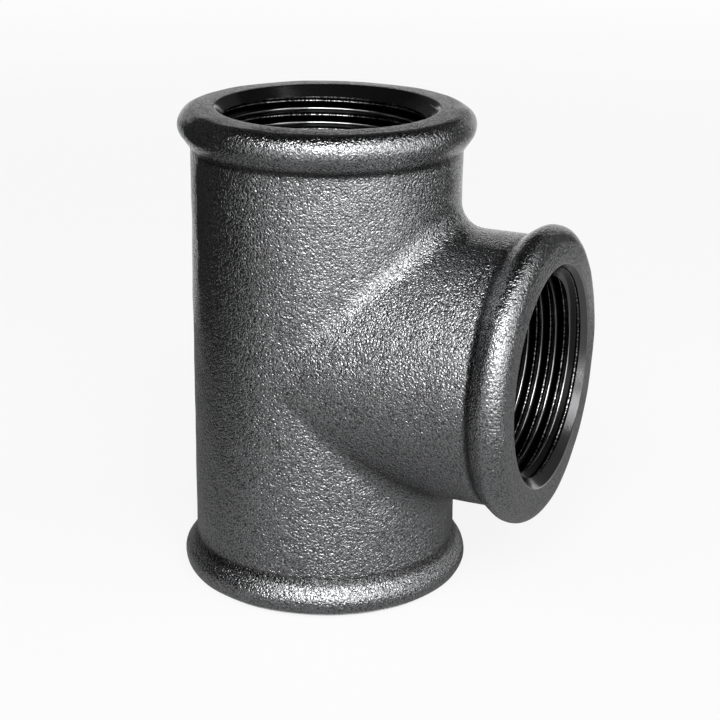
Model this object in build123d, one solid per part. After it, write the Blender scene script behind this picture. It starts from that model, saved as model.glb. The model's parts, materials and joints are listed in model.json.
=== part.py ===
"""Equal pipe tee, cast in malleable iron, with a female pipe thread of size 1 in each of its three ends.

The run stands along Z and the branch points along +X. The origin is where the two axes cross, so each end
face lies one centre-to-face length away from it. All sizes are in millimetres.

The tee is one casting, so it is one solid. Outside, two round barrels of nearly one size cross, a thick
rolled bead ends each barrel, and a fillet runs round the crotch where the barrels meet. Inside, each end has
a countersunk mouth and a bore, and the three bores open into the wider waterway that the sand core left. The
helical grooves of the threads aren't cut here: each bore is the cylinder that its thread's crests lie on.
"""
import os
from math import cos, radians, sin, tan

from build123d import *

# Centre-to-face length of the run's two ends and of the branch
run_reach = 38.0
branch_reach = 38.0

# Parallel female thread with the 55 degree form, and how deep it goes from the end face
thread_root_diameter = 33.249
threads_per_inch = 11
thread_length = 17.0
mouth_margin = 0.65

# Waterway between the threads: it clears the thread's roots, and the branch's core is a little slimmer
core_clearance = 0.5
core_relief = 0.2
core_taper_length = 1.2
core_rounding = 1.2

# Barrels: the wall round the waterway, and the branch's pattern is a little slimmer than the run's
wall = 4.0
barrel_relief = 0.1
crotch_fillet = 4.0

# Rolled bead at each end: a round nose that meets the flat face, and a straight flank down to the barrel
bead_rise = 1.88
bead_rounding = 2.6
bead_flank_angle = 35.0
bead_root_fillet = 2.4

# Depth of the 55 degree thread form as a share of its pitch, with crests and roots rounded
form_depth_share = 0.640327
inch = 25.4

thread_root_radius = thread_root_diameter / 2
thread_crest_radius = thread_root_radius - form_depth_share * inch / threads_per_inch
mouth_radius = thread_root_radius + mouth_margin
run_core_radius = thread_root_radius + core_clearance
branch_core_radius = run_core_radius - core_relief
run_barrel_radius = run_core_radius + wall
branch_barrel_radius = run_barrel_radius - barrel_relief
bead_radius = run_barrel_radius + bead_rise

# Two points, or a point and a surface, nearer than this are taken to touch
touching = 1e-3


def bead_corner_radius():
    """Radius at which the bead's flank would meet the plane of the end face, before the nose is rounded."""
    angle = radians(bead_flank_angle)
    return bead_radius - bead_rounding + bead_rounding * (1 + sin(angle)) / cos(angle)


def bead_length(barrel_radius):
    """Distance from the end face to where the bead's flank meets the barrel, before that corner is rounded."""
    return (bead_corner_radius() - barrel_radius) / tan(radians(bead_flank_angle))


def outside_corners(barrel_radius, reach):
    """Corners of a barrel and its bead from the middle outwards, as (radius, distance along the axis)."""
    return [
        (barrel_radius, reach - bead_length(barrel_radius)),
        (bead_corner_radius(), reach),
        (0, reach),
    ]


def inside_corners(core_radius, reach):
    """Corners of a waterway and its bore from the middle outwards, as (radius, distance along the axis)."""
    thread_end = reach - thread_length
    return [
        (core_radius, thread_end - core_taper_length),
        (thread_crest_radius, thread_end),
        (thread_crest_radius, reach),
        (0, reach),
    ]


def section(corners, two_ended):
    """Half section of a turned form about Z: mirrored to two ends, or cut off flat at the middle."""
    if two_ended:
        start = [(radius, -along) for radius, along in reversed(corners)]
    else:
        start = [(0, 0), (corners[0][0], 0)]
    return Plane.XZ * make_face(Polyline(*start, *corners, close=True))


def corners_at(face, radius):
    """Corners of a half section that lie at one radius, away from the middle plane."""
    return face.vertices().filter_by(lambda corner: abs(corner.X - radius) < touching < abs(corner.Z))


def barrel(barrel_radius, reach, two_ended):
    """A solid barrel about Z with a rolled bead on one end or on both."""
    half = section(outside_corners(barrel_radius, reach), two_ended)
    half = fillet(corners_at(half, bead_corner_radius()), bead_rounding)
    half = fillet(corners_at(half, barrel_radius), bead_root_fillet)
    return revolve(half, Axis.Z)


def waterway(core_radius, reach, two_ended):
    """The space inside a barrel about Z: the core's full width, narrowing to the bore of each end."""
    return revolve(section(inside_corners(core_radius, reach), two_ended), Axis.Z)


def lies_on_both(edge, run_radius, branch_radius):
    """Whether an edge's middle lies on the run's cylinder and on the branch's."""
    point = edge @ 0.5
    off_run = abs(Vector(point.X, point.Y).length - run_radius)
    off_branch = abs(Vector(point.Y, point.Z).length - branch_radius)
    return max(off_run, off_branch) < touching


def crossed(run, branch, run_radius, branch_radius, rounding):
    """A run with a branch laid along +X, and the curve where their cylinders meet rounded."""
    joined = run + Rot(0, 90, 0) * branch
    meeting = joined.edges().filter_by(lambda edge: lies_on_both(edge, run_radius, branch_radius))
    return fillet(meeting, rounding)


def is_mouth(edge):
    """Whether an edge is the circle where a bore breaks through its end face."""
    if edge.geom_type != GeomType.CIRCLE or abs(edge.radius - thread_crest_radius) > touching:
        return False
    centre = edge.arc_center
    return abs(abs(centre.Z) - run_reach) < touching or abs(centre.X - branch_reach) < touching


def casting():
    """The tee: the crossed barrels less the crossed waterways, with the three mouths countersunk at 45 degrees."""
    outside = crossed(
        barrel(run_barrel_radius, run_reach, two_ended=True),
        barrel(branch_barrel_radius, branch_reach, two_ended=False),
        run_barrel_radius,
        branch_barrel_radius,
        crotch_fillet,
    )
    inside = crossed(
        waterway(run_core_radius, run_reach, two_ended=True),
        waterway(branch_core_radius, branch_reach, two_ended=False),
        run_core_radius,
        branch_core_radius,
        core_rounding,
    )
    body = outside - inside
    return chamfer(body.edges().filter_by(is_mouth), mouth_radius - thread_crest_radius)


os.makedirs("parts", exist_ok=True)
tee = casting()
export_step(tee, "parts/tee_casting.step")
print("crest radius", round(thread_crest_radius, 4), "mouth radius", round(mouth_radius, 4))
print("barrel radii", round(run_barrel_radius, 3), round(branch_barrel_radius, 3))
print("bead radius", round(bead_radius, 3), "length", round(bead_length(run_barrel_radius), 2))
print("volume", round(tee.volume), "cubic mm")
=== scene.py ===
# %% [markdown]
# # Dressing a cast pipe tee
#
# A pipe tee joins three pipes. It is poured in malleable iron in a sand mould, so its skin keeps the
# grain of the sand, and then a tap cuts a pipe thread into each of its three mouths. It is one piece of
# metal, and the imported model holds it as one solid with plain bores.
#
# Nothing is moved or resized here. This script builds one closed mesh that stands for that solid: the
# same barrels, beads and waterway, with the helical threads cut in and the slight unevenness that a sand
# mould leaves. Then it gives the skin and the cut metal their finishes, and sets up the floor, the lamps
# and the camera.

# %% Load the frame
import json
from collections import namedtuple
from math import ceil, cos, floor, pi, radians, sin, tan

import bmesh
import bpy
import numpy as np
from mathutils import Matrix, Vector


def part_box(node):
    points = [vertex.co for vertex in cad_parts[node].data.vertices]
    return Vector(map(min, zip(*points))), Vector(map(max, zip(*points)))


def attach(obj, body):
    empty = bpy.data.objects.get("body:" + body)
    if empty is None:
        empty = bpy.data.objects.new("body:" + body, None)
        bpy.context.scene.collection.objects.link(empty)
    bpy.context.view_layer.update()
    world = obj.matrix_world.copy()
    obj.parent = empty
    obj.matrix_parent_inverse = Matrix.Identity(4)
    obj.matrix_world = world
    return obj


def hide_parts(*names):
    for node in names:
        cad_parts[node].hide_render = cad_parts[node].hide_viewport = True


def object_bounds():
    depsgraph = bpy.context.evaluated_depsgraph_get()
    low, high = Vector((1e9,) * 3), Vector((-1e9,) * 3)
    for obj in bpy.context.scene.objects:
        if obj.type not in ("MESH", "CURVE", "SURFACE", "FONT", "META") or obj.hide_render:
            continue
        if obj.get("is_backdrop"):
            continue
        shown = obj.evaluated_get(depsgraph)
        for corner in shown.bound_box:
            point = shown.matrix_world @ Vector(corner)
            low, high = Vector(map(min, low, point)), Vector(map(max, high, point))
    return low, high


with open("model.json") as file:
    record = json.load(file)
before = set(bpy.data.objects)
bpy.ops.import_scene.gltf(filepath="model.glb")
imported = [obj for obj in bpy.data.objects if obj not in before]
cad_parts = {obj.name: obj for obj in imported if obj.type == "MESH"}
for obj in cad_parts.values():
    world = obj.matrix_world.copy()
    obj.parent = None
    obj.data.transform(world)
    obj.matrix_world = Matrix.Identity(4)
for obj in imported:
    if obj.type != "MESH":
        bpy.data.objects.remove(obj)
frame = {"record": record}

mm = 0.001
cad_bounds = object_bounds()
low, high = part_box("tee_casting")
print("frame: the solid spans", [round(size / mm, 2) for size in high - low], "mm")

# %% [markdown]
# ## The tee's sizes
#
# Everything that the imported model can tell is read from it: how far the end faces lie from the crossing
# of the axes, the widest radius of the beads, and the radius of the bores, which is where the thread's
# crests lie. The other sizes are those of the casting pattern, and each is written once.
#
# The radii of the two barrels differ by a tenth of a millimetre and those of the two sand cores by two
# tenths. One radius midway between each pair makes the crossing much simpler to draw. The fillet at the
# foot of a bead is sharper here than in the solid, as the real crease is. A ring round a mouth has 180
# points, one for every two degrees.

# %% Sizes
run_reach = high.z
branch_reach = high.x
bead_radius = high.y
crest_radius = frame["record"]["mounts"][0]["dims"]["r_mm"] * mm

barrel_radius = 21.07 * mm
crotch_fillet = 4.0 * mm
bead_rounding = 2.6 * mm
bead_root_fillet = 0.8 * mm
bead_flank = radians(35)

mouth_radius = 17.27 * mm
mouth_edge_rounding = 0.3 * mm
socket_length = 17.0 * mm
core_radius = 17.02 * mm
core_taper = 1.2 * mm
core_edge_rounding = 1.2 * mm

columns = 180
print("reach", round(run_reach / mm, 2), "mm, bead radius", round(bead_radius / mm, 3), "mm")
print("crest radius", round(crest_radius / mm, 3), "mm")

# %% [markdown]
# ## Three mouths, three sets of directions
#
# The ends of the tee are alike, so each one is described by how far its face lies from the crossing and
# by three directions: out of the mouth, and two across it. One function then puts a ring, a bead or a
# thread at any mouth. Seen from outside, the angle always runs anticlockwise, so a right-hand thread is
# right-hand at all three. The last value says how deep the thread's first crest lies where the angle is
# zero. It differs from mouth to mouth, because a tap starts where it happens to start.

# %% Mouths
Mouth = namedtuple("Mouth", "reach outward side across first_crest")
mouths = {
    "top": Mouth(run_reach, (0, 0, 1), (1, 0, 0), (0, 1, 0), 2.06 * mm),
    "bottom": Mouth(-low.z, (0, 0, -1), (1, 0, 0), (0, -1, 0), 1.2 * mm),
    "branch": Mouth(branch_reach, (1, 0, 0), (0, 1, 0), (0, 0, 1), 2.54 * mm),
}


def placed(mouth, radius, depth, angle):
    """Points at a radius from a mouth's axis, a depth below its face and an angle round it.

    point = outward * (reach - depth) + side * radius * cos(angle) + across * radius * sin(angle)
    """
    radius, depth, angle = np.broadcast_arrays(radius, depth, angle)
    return (
        np.multiply.outer(mouth.reach - depth, mouth.outward)
        + np.multiply.outer(radius * np.cos(angle), mouth.side)
        + np.multiply.outer(radius * np.sin(angle), mouth.across)
    )


def arc(start, end, steps):
    """Angles along a rounding, both ends included."""
    return np.linspace(start, end, steps + 1)


around = np.linspace(0, 2 * pi, columns + 1)
print("mouths:", ", ".join(mouths))

# %% [markdown]
# ## Where two barrels cross
#
# The crotch of a cast tee is never sharp: the pattern has a fillet there, so that the sand doesn't break
# away and the iron doesn't crack. The form is what a ball leaves when it rolls along the groove between
# the two barrels.
#
# For two barrels of one radius the ball's path has a simple formula, so the skin can be drawn directly
# with no boolean. Each line of the grid starts on the run's end ring, goes straight down the run until
# the ball touches it, follows the ball round to the branch, and goes straight out to the branch's end
# ring. The same function draws the waterway inside, where the two sand cores meet.

# %% Crossing barrels
smallest_turn = 1e-6


def grid(x, y, z):
    """An array of rows by columns by 3 from the three coordinates."""
    return np.stack(np.broadcast_arrays(x, y, z), axis=-1)


def crossing(radius, fillet, run_end, branch_end, rows):
    """Skin of two crossed barrels of one radius: a grid above the branch, one below it and the run's back.

    At the angle t round the run, the ball's centre is ((r + f) cos t, (r + f) sin t, (r + f) cos t). It
    touches the run at (r cos t, r sin t, (r + f) cos t) and the branch at ((r + f) cos t, r sin t, r cos t).
    The arc between the two turns through the angle whose cosine is sin t squared, and it closes to a point
    at the sides. Its points are the centre plus the steps from it to those two places, with the weights
    sin((1 - share) * turn) / sin(turn) and sin(share * turn) / sin(turn).
    """
    run_rows, arc_rows, branch_rows = rows
    front = np.linspace(-pi / 2, pi / 2, columns // 2 + 1)
    run_share = np.linspace(0, 1, run_rows + 1)[:, None]
    arc_share = np.linspace(0, 1, arc_rows + 1)[1:-1, None]
    branch_share = np.linspace(0, 1, branch_rows + 1)[:, None]
    ball = (radius + fillet) * np.cos(front)

    height = run_end + (ball - run_end) * run_share
    down_run = grid(radius * np.cos(front), radius * np.sin(front), height)
    reach = ball + (branch_end - ball) * branch_share
    out_branch = grid(reach, radius * np.sin(front), radius * np.cos(front))

    turn = np.maximum(np.arccos(np.clip(np.sin(front) ** 2, 0, 1)), smallest_turn)
    to_run = fillet * np.sin((1 - arc_share) * turn) / np.sin(turn)
    to_branch = fillet * np.sin(arc_share * turn) / np.sin(turn)
    round_ball = grid(
        ball - to_run * np.cos(front),
        (radius + fillet - to_run - to_branch) * np.sin(front),
        ball - to_branch * np.cos(front),
    )
    above = np.concatenate([down_run, round_ball, out_branch])

    back = np.linspace(pi / 2, 3 * pi / 2, columns // 2 + 1)
    heights = np.concatenate([run_end * (1 - run_share), -run_end * run_share[1:]])
    behind = grid(radius * np.cos(back), radius * np.sin(back), heights)
    return [above, above * (1, 1, -1), behind]


print("crossing: one grid above the branch, one below it, one for the back")

# %% [markdown]
# ## The rolled bead
#
# Each end carries a thick bead. It stiffens the mouth against the wedging of the pipe, and it gives a
# wrench something to bite on. Its section is a flat face, a round nose, a straight flank and a small
# fillet down to the barrel. A section turned about an axis is the classic lathe form, so it is written as
# one line of points and carried round the mouth. The edge between the countersink and the face is broken
# by a tiny rounding, because a perfectly sharp edge catches no light and looks drawn.

# %% Bead section
edge_steps, face_steps, nose_steps, flank_steps, root_steps = 2, 5, 16, 3, 5


def between(first, second, steps):
    """Points that divide the straight line from the end of one stretch to the start of the next.

    point = end of the first * (1 - share) + start of the second * share
    """
    share = np.linspace(0, 1, steps + 1)[1:-1]
    return first[:, -1:] * (1 - share) + second[:, :1] * share


def bead_section():
    """Radius and depth of points along the end of a barrel, from the countersink to the barrel.

    A rounding's points lie off its centre by its radius times the sine and the cosine of the turn. The edge
    rounding is an eighth of a circle, the nose turns through a quarter and the flank's angle, and the root
    fillet turns back through the flank's angle. The flank is the straight line between nose and root, and
    it is as long as its drop in radius divided by the sine of its angle to the axis.
    """
    edge_turn = arc(pi / 4, 0, edge_steps)
    edge_centre = mouth_radius + mouth_edge_rounding * tan(pi / 8)
    edge = np.stack([
        edge_centre - mouth_edge_rounding * np.sin(edge_turn),
        mouth_edge_rounding - mouth_edge_rounding * np.cos(edge_turn),
    ])
    nose_turn = arc(0, pi / 2 + bead_flank, nose_steps)
    nose = np.stack([
        bead_radius - bead_rounding + bead_rounding * np.sin(nose_turn),
        bead_rounding - bead_rounding * np.cos(nose_turn),
    ])
    root_turn = arc(bead_flank, 0, root_steps)
    root_radius = barrel_radius + bead_root_fillet - bead_root_fillet * np.cos(root_turn)
    flank_length = (nose[0, -1] - root_radius[0]) / sin(bead_flank)
    root_depth = nose[1, -1] + flank_length * cos(bead_flank) + bead_root_fillet * sin(bead_flank)
    root = np.stack([root_radius, root_depth - bead_root_fillet * np.sin(root_turn)])
    face = between(edge, nose, face_steps)
    flank = between(nose, root, flank_steps)
    return np.concatenate([edge, face, nose, flank, root], axis=1)


section = bead_section()
bead_length = section[1, -1]
print("bead: length", round(bead_length / mm, 2), "mm, points", section.shape[1])

# %% [markdown]
# ## The pipe thread
#
# The thread has eleven turns to the inch. Its flanks stand at 55 degrees to each other, and its crests
# and roots are rounded. What a tap and a countersink leave is whatever the widest tool swept away, so the
# radius of the hole at any place is the largest of three: the thread, the countersink, and the tapered
# end of the sand core.
#
# The grid follows the helix: its rows lie along the crests and roots, which keeps them crisp with few
# faces, and each column starts a little nearer the face than the last. After one turn a row has moved by
# one pitch and meets the row that started there, so the seam closes by itself. Rows above the face or
# below the taper are held at those ends, where the doubled points are merged later. Where the thread runs
# into the countersink or the taper, the nearest row is moved onto the edge between them.

# %% Thread form
inch = 25.4 * mm
turns_in_an_inch = 11
pitch = inch / turns_in_an_inch
half_flank_angle = radians(27.5)
form_depth = 0.640327 * pitch
form_rounding = 0.137329 * pitch
arc_half_width = form_rounding * cos(half_flank_angle)
arc_height = form_rounding * (1 - sin(half_flank_angle))
arc_points = 5
crest_steps = np.linspace(-arc_half_width, arc_half_width, arc_points) / pitch
steps_in_a_turn = np.concatenate([crest_steps, crest_steps + 0.5])
socket_end = socket_length + core_taper


def arc_rise(distance):
    """How far a rounding has risen at a distance from its middle, held at the end of the rounding.

    rise = radius - square root of (radius squared - distance squared)
    """
    held = np.minimum(distance, arc_half_width)
    return form_rounding - np.sqrt(form_rounding**2 - held**2)


def thread_radius(turns):
    """Radius of the thread's surface, a number of turns away from a crest.

    Near the crest and near the root the section is a circle, and between them it is a straight flank, which
    rises by the distance along the axis divided by the tangent of half the flank angle.
    """
    from_crest = np.abs(turns - np.round(turns)) * pitch
    from_root = pitch / 2 - from_crest
    on_flank = arc_height + (from_crest - arc_half_width) / tan(half_flank_angle)
    height = np.where(from_root < arc_half_width, form_depth - arc_rise(from_root), on_flank)
    height = np.where(from_crest < arc_half_width, arc_rise(from_crest), height)
    return crest_radius + height


def countersink_radius(depth):
    """A cone of 45 degrees that closes from the mouth's edge: the mouth's radius less the depth."""
    return mouth_radius - depth


def taper_radius(depth):
    """A cone that opens from the end of the thread to the width of the sand core.

    radius = crest radius + (core radius - crest radius) * depth beyond the thread / length of the taper
    """
    return crest_radius + (core_radius - crest_radius) * (depth - socket_length) / core_taper


print("thread: pitch", round(pitch / mm, 3), "mm, depth of form", round(form_depth / mm, 3), "mm")


# %% Threaded socket
def onto_the_edge(depth, difference):
    """Row depths with the nearer row moved to where two surfaces cross.

    They cross where the difference of their radii changes its sign from one row to the next, and
    share of the way = difference at the first row / (difference at the first - difference at the next).
    """
    depth = depth.copy()
    before, after = difference[:-1], difference[1:]
    crosses = before * after < 0
    share = np.divide(before, before - after, out=np.zeros_like(before), where=crosses)
    edge = depth[:-1] + share * (depth[1:] - depth[:-1])
    upper, lower = crosses & (share < 0.5), crosses & (share >= 0.5)
    depth[:-1][upper] = edge[upper]
    depth[1:][lower] = edge[lower]
    return depth


def socket(mouth):
    """Inner wall of one mouth, from the edge rounding to the core, on rows that follow the helix.

    depth = first crest + pitch * (turn + step - angle / one turn), held between the two ends
    radius = the largest of thread, countersink and taper at that depth
    """
    first_turn = floor(-mouth.first_crest / pitch) - 1
    last_turn = ceil((socket_end - mouth.first_crest) / pitch) + 1
    rows = np.add.outer(np.arange(first_turn, last_turn + 1), steps_in_a_turn).reshape(-1, 1)
    start_depth = section[1, 0]

    def turns_at(depth):
        """Turns from the first crest: (depth - first crest) / pitch + angle / one turn."""
        return (depth - mouth.first_crest) / pitch + around / (2 * pi)

    depth = mouth.first_crest + pitch * (rows - around / (2 * pi))
    for cone in (countersink_radius, taper_radius):
        depth = onto_the_edge(depth, cone(depth) - thread_radius(turns_at(depth)))
    depth = np.clip(depth, start_depth, socket_end)
    walls = [thread_radius(turns_at(depth)), countersink_radius(depth), taper_radius(depth)]
    return placed(mouth, np.maximum.reduce(walls), depth, around)


print("socket: deepest", round(socket_end / mm, 2), "mm")

# %% [markdown]
# ## One closed skin
#
# The grids share their border points, so they can be sewn into one closed mesh: all points go into one
# array, every square of four neighbours becomes a face, and points that lie in the same place are merged.
# Faces that had shrunk to a line vanish with that, for instance at the sides, where the crotch fillet
# closes to a point. At the end every edge must have exactly two faces, which the cell counts and prints.
# Each grid also says which finish it carries.

# %% Sew the skin
skin_finish, cut_finish, core_finish = 0, 1, 2
weld_distance = 1e-6


def sewn(name, patches):
    """One mesh from patches, each a grid of points and the number of its finish."""
    points, squares, finishes = [], [], []
    count = 0
    for patch, finish in patches:
        rows, across = patch.shape[:2]
        number = count + np.arange(rows * across).reshape(rows, across)
        corners = (number[:-1, :-1], number[1:, :-1], number[1:, 1:], number[:-1, 1:])
        squares.append(np.stack(corners, axis=-1).reshape(-1, 4))
        finishes.append(np.full(len(squares[-1]), finish))
        points.append(patch.reshape(-1, 3))
        count += rows * across
    mesh = bpy.data.meshes.new(name)
    mesh.from_pydata(np.concatenate(points).tolist(), [], np.concatenate(squares).tolist())
    mesh.polygons.foreach_set("material_index", np.concatenate(finishes))
    body = bmesh.new()
    body.from_mesh(mesh)
    bmesh.ops.remove_doubles(body, verts=body.verts, dist=weld_distance)
    bmesh.ops.recalc_face_normals(body, faces=body.faces)
    loose = sum(len(edge.link_faces) != 2 for edge in body.edges)
    triangles = sum(len(face.verts) - 2 for face in body.faces)
    print(name, "points", len(body.verts), "triangles", triangles, "edges without two faces", loose)
    body.to_mesh(mesh)
    body.free()
    piece = bpy.data.objects.new(name, mesh)
    bpy.context.collection.objects.link(piece)
    return piece


print("sewing: points within", weld_distance / mm, "mm are merged")

# %% The tee's mesh
barrel_rows, waterway_rows = (34, 10, 34), (12, 5, 12)
barrel_ends = run_reach - bead_length, branch_reach - bead_length
waterway_ends = run_reach - socket_end, branch_reach - socket_end
edge_rows, bead_rows = slice(0, edge_steps + 1), slice(edge_steps, None)

barrels = crossing(barrel_radius, crotch_fillet, *barrel_ends, barrel_rows)
waterway = crossing(core_radius, core_edge_rounding, *waterway_ends, waterway_rows)
patches = [(patch, skin_finish) for patch in barrels] + [(patch, core_finish) for patch in waterway]
for mouth in mouths.values():
    for rows, finish in ((edge_rows, cut_finish), (bead_rows, skin_finish)):
        patches.append((placed(mouth, section[0, rows, None], section[1, rows, None], around), finish))
    patches.append((socket(mouth), cut_finish))
tee = sewn("cast_tee", patches)

# %% [markdown]
# ## What the sand mould leaves
#
# A sand mould is never quite true: the barrels of a real casting wave by a tenth of a millimetre, which
# is enough to make its highlights wander. The unevenness is the sum of a few dozen long sine waves in
# random directions, always the same ones because the random numbers are seeded. It only ever lowers the
# skin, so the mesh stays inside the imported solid, and it fades out on the flat end faces and leaves all
# that was cut with a tool alone.

# %% Cast unevenness
unevenness = 0.16 * mm
shortest_wave, longest_wave = 4.5 * mm, 16 * mm
wave_count = 40
mould_seed = 11
rim_starts, skin_starts = 18.0 * mm, 21.0 * mm
sharp_edge = radians(38)


def from_the_axes(points):
    """Distance to the nearer of the run's axis and the branch's, which only exists on the +X side.

    From the run it is the root of x squared + y squared. From the branch it is the root of y squared +
    z squared, and behind the branch's start, where x is negative, + x squared.
    """
    from_run = np.hypot(points[:, 0], points[:, 1])
    from_branch = np.sqrt(points[:, 1] ** 2 + points[:, 2] ** 2 + np.minimum(points[:, 0], 0) ** 2)
    return np.minimum(from_run, from_branch)


def waves(points, rng):
    """A smooth random number between about -1 and 1 at each point.

    It is the sum of sine waves of mixed lengths and directions, divided by twice the root of their number.
    """
    directions = rng.normal(size=(wave_count, 3))
    directions /= np.linalg.norm(directions, axis=1, keepdims=True)
    lengths = rng.uniform(shortest_wave, longest_wave, wave_count)
    phases = rng.uniform(0, 2 * pi, wave_count)
    heights = np.sin(points @ (directions * (2 * pi / lengths)[:, None]).T + phases)
    return heights.sum(axis=1) / (2 * wave_count**0.5)


def smooth_step(values, start, end):
    """0 up to start, 1 from end on, and between them share squared * (3 - 2 * share)."""
    share = np.clip((values - start) / (end - start), 0, 1)
    return share * share * (3 - 2 * share)


mesh = tee.data
points = np.empty(len(mesh.vertices) * 3)
mesh.vertices.foreach_get("co", points)
points = points.reshape(-1, 3)
normals = np.empty(len(mesh.vertices) * 3)
mesh.vertex_normals.foreach_get("vector", normals)
skin_share = smooth_step(from_the_axes(points), rim_starts, skin_starts)
lumps = np.clip(waves(points, np.random.default_rng(mould_seed)), -1, 1)

# Nothing at the highest lumps, where they are 1, and the full unevenness at the lowest, where they are -1
sunk = unevenness * (0.5 - 0.5 * lumps) * skin_share
mesh.vertices.foreach_set("co", (points - normals.reshape(-1, 3) * sunk[:, None]).ravel())
mesh.shade_smooth()
mesh.set_sharp_from_angle(angle=sharp_edge)
mesh.update()
print("unevenness: deepest", round(sunk.max() / mm, 3), "mm")

# %% [markdown]
# ## Writing shaders as sums
#
# A finish is a small calculation at each point of the surface. Drawn as nodes it soon becomes a web that
# nobody can read, so the class below wraps a socket and lets Python's own operators add the Math nodes:
# `0.4 + 0.1 * grain` is then both the formula and the node tree. Every other node comes from one method,
# `node`, that takes its type, its settings and what goes into its sockets.


# %% Shader helper
class Wire:
    """One output socket of a material, on which Python's operators add Math nodes."""

    def __init__(self, finish, socket):
        self.finish = finish
        self.socket = socket

    def math(self, operation, *others):
        """A Math node with this wire as its first value."""
        sockets = dict(enumerate((self, *others)))
        return self.finish.node("ShaderNodeMath", {"operation": operation}, sockets)

    def __add__(self, other):
        return self.math("ADD", other)

    def __sub__(self, other):
        return self.math("SUBTRACT", other)

    def __rsub__(self, other):
        return (self * -1) + other

    def __mul__(self, other):
        return self.math("MULTIPLY", other)

    __radd__ = __add__
    __rmul__ = __mul__

    def other(self, output):
        """Another output of the same node."""
        return Wire(self.finish, self.socket.node.outputs[output])

    def spread(self, start, end):
        """0 up to start, 1 from end on, and a smooth curve between."""
        sockets = {"Value": self, "From Min": start, "From Max": end}
        return self.finish.node("ShaderNodeMapRange", {"interpolation_type": "SMOOTHSTEP"}, sockets)


class Finish:
    """A material with an empty node tree, and the one method that adds a node to it."""

    def __init__(self, name):
        self.material = bpy.data.materials.new(name)
        self.material.use_nodes = True
        self.tree = self.material.node_tree
        self.tree.nodes.clear()

    def node(self, kind, settings=None, sockets=None, output=0):
        """Adds a node: first its settings, then a value or a wire for each named or numbered socket."""
        made = self.tree.nodes.new(kind)
        for name, value in (settings or {}).items():
            setattr(made, name, value)
        for name, value in (sockets or {}).items():
            if isinstance(value, Wire):
                self.tree.links.new(value.socket, made.inputs[name])
            else:
                made.inputs[name].default_value = value
        return Wire(self, made.outputs[output])

    def surface(self, shader):
        """Ends the tree: the shader becomes the material's surface."""
        end = self.tree.nodes.new("ShaderNodeOutputMaterial")
        self.tree.links.new(shader.socket, end.inputs["Surface"])


print("shader helper ready")

# %% [markdown]
# ## Three nodes that every finish of the tee uses
#
# All patterns are read from Object coordinates, which are metres on the casting itself, so a grain of
# half a millimetre is half a millimetre everywhere, also round the crotch, where no flat map would fit.
# Noise gives the lumps, Bump turns a height into light and shade, and Mix blends two colours. A Mix node
# has sockets for plain numbers and for vectors too, so the ones for colours are picked by their number.

# %% Noise, bump and blend
mix_factor, mix_first, mix_second, mix_result = 0, 6, 7, 2


def noise(place, size, detail=1.0):
    """Noise from 0 to 1 whose lumps are about the given size."""
    sockets = {"Vector": place, "Scale": 1 / size, "Detail": detail}
    return place.finish.node("ShaderNodeTexNoise", None, sockets)


def bumped(height, distance):
    """A normal for the shader from a height, and the distance that a height of 1 stands for."""
    return height.finish.node("ShaderNodeBump", None, {"Height": height, "Distance": distance})


def blend(share, first, second):
    """The first colour where share is 0, the second where it is 1.

    Each is three numbers, or a wire that carries a colour.
    """
    ends = [end if isinstance(end, Wire) else (*end, 1) for end in (first, second)]
    sockets = {mix_factor: share, mix_first: ends[0], mix_second: ends[1]}
    return share.finish.node("ShaderNodeMix", {"data_type": "RGBA"}, sockets, mix_result)


print("noise, bump and blend ready")

# %% [markdown]
# ## The casting's skin
#
# The skin of a malleable casting is a thin scale of black oxide, and it leaves the works with a film of
# oil on it. Where it is clean it mirrors about a third of the light and scatters almost none, so it is a
# dark metal to the shader: what one sees on it is a picture of the lamps, broken into sparks by the grain
# of the sand.
#
# That grain is the whole look, so it is built with care. A smooth noise is folded at its middle value,
# which turns its soft hills into crisp wrinkles, like the skin between the grains of the sand, and a
# finer roughness is added. Both are heights in real millimetres. The grain is lower on the beads, because
# whatever touches the tee rubs on them.
#
# The colour is speckled at the size of the finest pores, which hold dirt. The crease under each bead is
# painted darker, as painted shade where little light reaches. The flat end faces are a little duller. The
# oil lies unevenly, which changes the gloss a little from place to place.

# %% Skin values
grain_size = 0.6 * mm
fine_grain_size = 0.2 * mm
fine_grain_share = 0.15
grain_height = 0.23 * mm
bead_smoothing = 0.33

pore_size = 0.28 * mm
pore_edges = (0.32, 0.58)
pore_colour = (0.11, 0.111, 0.115)
scale_colour = (0.365, 0.368, 0.375)

# The crease values below paint shade: a dark band in the base colour under each bead.
crease_depth = bead_length - 0.5 * mm
crease_shade_fade = (0.2 * mm, 1.1 * mm)
crease_shade_share = 0.8
crease_shade_colour = (0.026, 0.026, 0.026)

oil_patch_size = 6 * mm
oil_edges = (0.35, 0.65)
face_fade = (0.05 * mm, 0.5 * mm)
dry_roughness, oil_gloss, face_dullness = 0.12, 0.03, 0.06
print("skin: grain", grain_size / mm, "mm, height", grain_height / mm, "mm")


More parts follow.
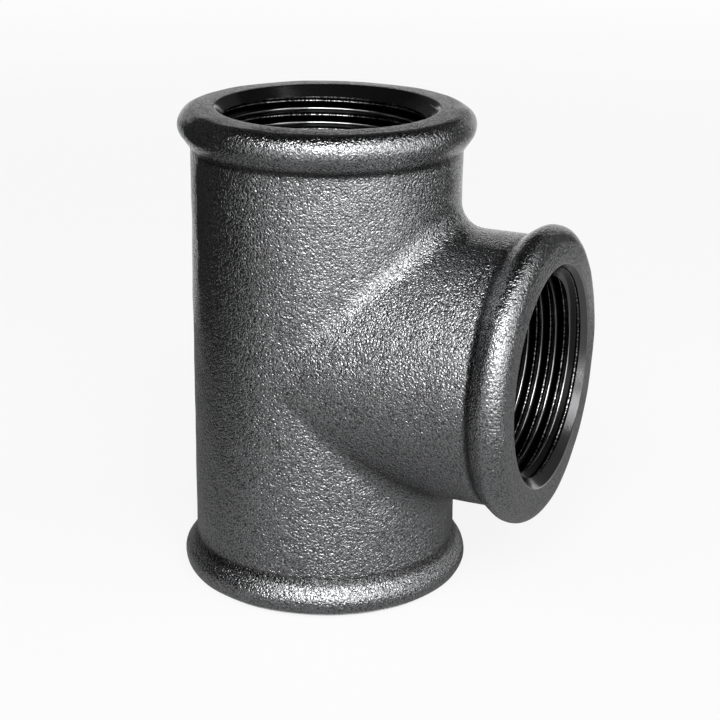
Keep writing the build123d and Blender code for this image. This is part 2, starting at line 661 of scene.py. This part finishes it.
# %% Skin finish
def make_skin():
    """The finish of the outside, from the noises and from the depth below the nearer end.

    depth = reach - the larger of |z| and x
    grain = 1 - 2 * |noise - 0.5| + share of the fine grain * finer noise
    """
    finish = Finish("oiled_black_skin")
    place = finish.node("ShaderNodeTexCoord", None, None, "Object")
    x = finish.node("ShaderNodeSeparateXYZ", None, {"Vector": place}, "X")
    depth = run_reach - x.other("Z").math("ABSOLUTE").math("MAXIMUM", x)
    end_face = 1 - depth.spread(*face_fade)
    bead = 1 - depth.spread(bead_rounding, bead_length)
    # Painted shade: the crease under each bead is darkened in the base colour below.
    crease = 1 - (depth - crease_depth).math("ABSOLUTE").spread(*crease_shade_fade)
    oil = noise(place, oil_patch_size, detail=3.0).spread(*oil_edges)
    wrinkles = 1 - 2 * (noise(place, grain_size, detail=2.0) - 0.5).math("ABSOLUTE")
    grain = wrinkles + fine_grain_share * noise(place, fine_grain_size)
    clean = blend(noise(place, pore_size, detail=2.0).spread(*pore_edges), pore_colour, scale_colour)
    shader = finish.node(
        "ShaderNodeBsdfPrincipled",
        None,
        {
            "Base Color": blend(crease * crease_shade_share, clean, crease_shade_colour),
            "Metallic": 1.0,
            "Roughness": dry_roughness - oil_gloss * oil + face_dullness * end_face,
            "Normal": bumped(grain * (1 - bead_smoothing * bead), grain_height),
        },
    )
    finish.surface(shader)
    return finish.material


skin = make_skin()
print("skin: nodes", len(skin.node_tree.nodes))

# %% [markdown]
# ## Cut metal
#
# The countersinks and the threads are cut after the casting is annealed, so they have no sandy skin. The
# thread's flanks are painted nearly black, darker than the countersink, as painted shade inside the bore.
# The narrow crests and roots are painted bright, as painted highlights, and in the roots the tap tears the
# iron as it goes, which breaks the bright lines up. The edge of the mouth is painted bright as well, as a
# painted highlight.
#
# Where a point lies in the thread follows from its radius, so the finish first works out the distance to
# the nearer axis and the depth below the end face. On the countersink the two add up to the radius of the
# mouth, and further in to more, which tells it from the thread.

# %% Cut values
tear_size = 0.3 * mm
tear_height = 0.012 * mm
tear_edges = (0.45, 0.6)
cone_colour = (0.17, 0.17, 0.174)
# Painted shade on the thread's flanks, and a painted highlight on its crests, roots and the mouth's edge.
flank_shade_colour = (0.04, 0.04, 0.041)
painted_highlight_colour = (0.43, 0.43, 0.43)

# Where the painted highlights lie: the mouth's edge, the thread's crests and its roots.
edge_highlight_fade = (0.06 * mm, 0.12 * mm)
cone_end = mouth_radius - crest_radius
cone_fade = (cone_end + 0.1 * mm, cone_end + 0.2 * mm)
crest_highlight_fade = (0.01 * mm, 0.08 * mm)
root_highlight_fade = (form_depth - 0.15 * mm, form_depth - 0.03 * mm)
cut_roughness, tear_dullness = 0.12, 0.08
print("cut metal: tears", tear_size / mm, "mm, countersink", round(cone_end / mm, 2), "mm deep")


# %% Cut finish
def make_cut():
    """The finish of the mouths and threads, from two measures at each point.

    The height above the crests is the distance to the nearer axis less the crest radius, and the depth
    below the nearer end face is the reach less the larger of |z| and x.
    """
    finish = Finish("oiled_cut_iron")
    place = finish.node("ShaderNodeTexCoord", None, None, "Object")
    x = finish.node("ShaderNodeSeparateXYZ", None, {"Vector": place}, "X")
    y, z = x.other("Y"), x.other("Z")
    from_run = (x * x + y * y).math("SQRT")
    from_branch = (y * y + z * z).math("SQRT")
    above_crest = from_run.math("MINIMUM", from_branch) - crest_radius
    depth = run_reach - z.math("ABSOLUTE").math("MAXIMUM", x)
    tears = noise(place, tear_size, detail=2.0)

    # Painted highlights on the mouth's edge, the crests and the torn roots, over flanks painted as shade.
    edge = 1 - depth.spread(*edge_highlight_fade)
    below_cone = (above_crest + depth).spread(*cone_fade)
    crest = 1 - above_crest.spread(*crest_highlight_fade)
    root = above_crest.spread(*root_highlight_fade) * tears.spread(*tear_edges)
    thread = blend(crest.math("MAXIMUM", root), flank_shade_colour, painted_highlight_colour)
    shader = finish.node(
        "ShaderNodeBsdfPrincipled",
        None,
        {
            "Base Color": blend(edge, blend(below_cone, cone_colour, thread), painted_highlight_colour),
            "Metallic": 1.0,
            "Roughness": cut_roughness + tear_dullness * tears,
            "Normal": bumped(tears, tear_height),
        },
    )
    finish.surface(shader)
    return finish.material


cut = make_cut()
print("cut metal: nodes", len(cut.node_tree.nodes))

# %% [markdown]
# ## Inside the waterway
#
# The waterway was shaped by a sand core that is coarser than the mould, and no tool reaches it. Its skin
# is the same black oxide, but dull and rougher, and hardly any light falls on it, so a plain rough finish
# is enough.

# %% Core finish
core_grain_size = 0.8 * mm
core_grain_height = 0.25 * mm
core_colour = (0.06, 0.06, 0.062)
dusty_core_colour = (0.1, 0.096, 0.091)
dust_edges = (0.4, 0.6)
core_metal_share = 0.3
core_roughness, core_dullness = 0.5, 0.2


def make_core():
    """The finish of the waterway: one noise gives its dust, its roughness and its grain."""
    finish = Finish("rough_core_skin")
    place = finish.node("ShaderNodeTexCoord", None, None, "Object")
    grain = noise(place, core_grain_size, detail=3.0)
    shader = finish.node(
        "ShaderNodeBsdfPrincipled",
        None,
        {
            "Base Color": blend(grain.spread(*dust_edges), core_colour, dusty_core_colour),
            "Metallic": core_metal_share,
            "Roughness": core_roughness + core_dullness * grain,
            "Normal": bumped(grain, core_grain_height),
        },
    )
    finish.surface(shader)
    return finish.material


core = make_core()
print("waterway: grain", core_grain_size / mm, "mm")

# %% [markdown]
# ## The tee takes its place
#
# The mesh carries the number of a finish on each face, so the finishes go into its slots in that order.
# Then the piece rides with the one body there is, and the imported solid is hidden.

# %% Place the tee
for material in (skin, cut, core):
    tee.data.materials.append(material)
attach(tee, "root")
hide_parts("tee_casting")
print("tee: finishes", ", ".join(slot.name for slot in tee.data.materials))

# %% [markdown]
# ## The camera's directions
#
# The camera stands a little to the right of the tee's front and looks down on it at about 19 degrees,
# from about 30 centimetres, with a long lens. Three directions are worked out first, because the cards
# and the lamps are placed by them too: to the right, up and back towards the camera. A camera looks along
# its own -Z, so its matrix is those three directions side by side.

# %% Camera
azimuth, elevation, roll = radians(24.046), radians(19.323), radians(0.654)
camera_distance = 293.141 * mm
lens, sensor_width = 91.945, 36
aim_right, aim_up = 5.4 * mm, -2.988 * mm


def direction(turn, height):
    """A direction from the tee: turned so far round from -Y towards +X, and raised so far above level.

    direction = (sin turn * cos height, -cos turn * cos height, sin height)
    """
    return Vector((sin(turn) * cos(height), -cos(turn) * cos(height), sin(height)))


sight_back = direction(azimuth, elevation)
level_right = Vector((0, 0, 1)).cross(sight_back).normalized()
level_up = sight_back.cross(level_right)
sight_right = level_right * cos(roll) + level_up * sin(roll)
sight_up = level_up * cos(roll) - level_right * sin(roll)

camera = bpy.data.cameras.new("camera")
camera.lens = lens
camera.sensor_width = sensor_width
camera.clip_start = 10 * mm
stand = bpy.data.objects.new("camera", camera)
place = sight_right * aim_right + sight_up * aim_up + sight_back * camera_distance
turned = Matrix((sight_right, sight_up, sight_back)).transposed().to_4x4()
stand.matrix_world = Matrix.Translation(place) @ turned
bpy.context.collection.objects.link(stand)
bpy.context.scene.camera = stand
bpy.context.scene.view_settings.view_transform = "Standard"
print("camera at", [round(value / mm) for value in place], "mm")

# %% [markdown]
# ## A white studio
#
# The floor is a round white sheet that curves up at its far edge, as a paper sweep does, so that no view
# meets a hard horizon. It is a profile turned about Z, and an open sheet, so its rim's edges have one
# face each. Its sizes are in metres, because it is so much larger than the tee.
#
# The camera, and anything glossy or clear, sees it as plain white, which is what Light Path's three rays
# are for. Near the tee a small share stays ordinary white paint, which keeps a faint shadow where the tee
# stands. The share fades out with the distance from the tee, so that the edge of a lamp's light draws no
# line across the far floor.

# %% Paper
paint_grey, paint_share = 0.8, 0.12
paint_fade = (0.15, 0.9)


def make_paper():
    """White light where it is seen, mixed with paint: paint share * (1 - fade with distance)."""
    finish = Finish("white_paper")
    camera_ray = finish.node("ShaderNodeLightPath", None, None, "Is Camera Ray")
    glossy_ray = camera_ray.other("Is Glossy Ray")
    clear_ray = camera_ray.other("Is Transmission Ray")
    place = finish.node("ShaderNodeTexCoord", None, None, "Object")
    away = finish.node("ShaderNodeVectorMath", {"operation": "LENGTH"}, {0: place}, "Value")
    painted = paint_share * (1 - away.spread(*paint_fade))
    seen = (camera_ray + glossy_ray + clear_ray) * (1 - painted)
    paint = finish.node("ShaderNodeBsdfDiffuse", None, {"Color": (paint_grey, paint_grey, paint_grey, 1)})
    glow = finish.node("ShaderNodeEmission", None, {"Color": (1, 1, 1, 1), "Strength": 1.0})
    finish.surface(finish.node("ShaderNodeMixShader", None, {0: seen, 1: paint, 2: glow}))
    return finish.material


def staged(name, points, material):
    """A piece of the studio from a grid of points: shown, but no part of the tee."""
    piece = sewn(name, [(points, 0)])
    piece.data.materials.append(material)
    piece.data.shade_smooth()
    piece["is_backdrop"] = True
    return piece


paper = make_paper()
print("paper: nodes", len(paper.node_tree.nodes))

# %% Floor
inner_radius, sheet_radius, sweep_radius, wall_height = 0.3, 1.6, 0.5, 0.9
sweep_steps, sheet_columns = 12, 96

sweep = arc(0, pi / 2, sweep_steps)
outer_radius = sheet_radius + sweep_radius
radii = np.concatenate([[0, inner_radius], sheet_radius + sweep_radius * np.sin(sweep), [outer_radius]])
heights = np.concatenate([[0, 0], sweep_radius * (1 - np.cos(sweep)), [wall_height]])
turn = np.linspace(0, 2 * pi, sheet_columns + 1)
reach, height = radii[:, None], low.z + heights[:, None]
staged("floor", grid(reach * np.cos(turn), reach * np.sin(turn), height), paper)
print("floor: radius", outer_radius, "m, edge", wall_height, "m high")

# %% [markdown]
# ## Cards and grey paper
#
# A dark glossy thing on white paper melts into it, because its sides mirror the paper. Photographers
# stand cards close to it, just out of the picture, and the edges turn dark and crisp. Here a dark card
# stands on the left, a grey one hangs a little above the floor on the right, and a dark one hangs behind,
# where the top rim mirrors it. Grey paper lies round the foot, with a paler strip in front of it, so that
# the lower half of the tee mirrors something darker than the floor.
#
# They do only that: they are seen in the gloss and nowhere else, so they neither block a view from
# another side nor throw a shadow. Each is a single rectangle, so its four edges have one face each.

# %% Cards
side_back, side_height = -120 * mm, 160 * mm
left_place, left_front = -75 * mm, 60 * mm
right_place, right_front, right_lift = 90 * mm, 20 * mm, 24 * mm
paper_side, paper_front, strip_front, paper_lift = 300 * mm, 130 * mm, 300 * mm, 1 * mm
hanging_back, hanging_side, hanging_low, hanging_high = -160 * mm, 130 * mm, 95 * mm, 230 * mm


def card(name, grey, aside, towards, above_floor):
    """A rectangle given by its reach to the right, towards the camera and above the floor.

    Two of the three have two ends each, and the third is one place, so it has two by two corners.
    corner = level right * aside + level towards the camera * towards + up * (floor + above floor)
    """
    finish = Finish(name)
    finish.surface(finish.node("ShaderNodeBsdfDiffuse", None, {"Color": (grey, grey, grey, 1)}))
    level_towards = Vector((sight_back.x, sight_back.y, 0)).normalized()
    corners = np.meshgrid(aside, towards, above_floor, indexing="ij")
    right, near, up = (part.reshape(2, 2) for part in corners)
    points = (
        np.multiply.outer(right, level_right)
        + np.multiply.outer(near, level_towards)
        + np.multiply.outer(low.z + up, (0, 0, 1))
    )
    piece = staged(name, points, finish.material)
    piece.visible_camera = piece.visible_diffuse = piece.visible_shadow = False


card("left_card", 0.07, left_place, (side_back, left_front), (0, side_height))
card("right_card", 0.3, right_place, (side_back, right_front), (right_lift, side_height))
card("grey_paper", 0.35, (-paper_side, paper_side), (side_back, paper_front), paper_lift)
card("front_paper", 0.6, (-paper_side, paper_side), (paper_front, strip_front), paper_lift)
card("hanging_card", 0.05, (-hanging_side, hanging_side), hanging_back, (hanging_low, hanging_high))
print("cards at", left_place / mm, "and", right_place / mm, "mm from the tee's middle")

# %% [markdown]
# ## Soft lamps
#
# A lamp matters here as a shape that the gloss mirrors, so each is given by where it stands, seen from
# the tee, and by how bright its white surface looks. The watts that Blender asks for follow from that: pi
# times the area times the brightness.
#
# The main lamp stands above the camera and gives most of the light and the sparks in the grain. The others
# give the sides and the lower half their sheen. Together they light plain grey paint in the tee's place at
# 0.9 to 1.4 times the colour as it is written.


# %% Lamps
def lamp(name, turn, height, distance, width, tall, brightness):
    """A soft box that faces the tee, turned from the camera's side and raised above level, in degrees.

    watts = pi * width * height of the box * brightness
    """
    light = bpy.data.lights.new(name, "AREA")
    light.shape = "RECTANGLE"
    light.size = width
    light.size_y = tall
    light.energy = pi * width * tall * brightness
    towards = direction(azimuth + radians(turn), radians(height))
    holder = bpy.data.objects.new(name, light)
    holder.location = towards * distance
    holder.rotation_euler = towards.to_track_quat("Z", "Y").to_euler()
    holder.visible_camera = False
    bpy.context.collection.objects.link(holder)
    print(name, "lamp", round(light.energy, 1), "watts")


# Name, turn, height, distance, width, tall, brightness
lamp("main", 0, 39, 0.9, 0.7, 0.4, 8.0)
lamp("upper", 22, 53, 0.9, 0.38, 0.45, 1.0)
lamp("lower", 22, 18, 0.9, 0.62, 0.69, 1.1)
lamp("middle", 15, 11, 0.8, 0.2, 0.4, 1.1)
lamp("right", 67, 32, 0.9, 0.42, 0.69, 1.8)
lamp("right_upper", 62, 53, 0.9, 0.38, 0.45, 1.1)
lamp("left", -45, 46, 0.8, 0.5, 0.2, 2.3)
lamp("low", 45, 4, 0.8, 0.12, 0.12, 5.0)

# %% [markdown]
# ## The room
#
# The rest of the room is dim and grey. It keeps the upper edges and the inside of the mouths from going
# quite black, and no more, because whatever is bright in the room also shows in the gloss.

# %% World
room_light = 0.022
room = bpy.data.worlds.new("room")
room.use_nodes = True
room.node_tree.nodes["Background"].inputs["Color"].default_value = (1, 1, 1, 1)
room.node_tree.nodes["Background"].inputs["Strength"].default_value = room_light
bpy.context.scene.world = room
print("room: light", room_light)

# %% [markdown]
# ## Measuring the result
#
# The imported model's box and the dressed tee's are written down side by side, and the dressed tee's is
# printed. The dressed tee has to stay inside the imported model's box.

# %% Sizes and finish
visual_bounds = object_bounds()
boxes = {"cad": cad_bounds, "visual": visual_bounds}
{name: [list(corner) for corner in box] for name, box in boxes.items()}
print("visual box", [[round(value / mm, 2) for value in corner] for corner in visual_bounds])
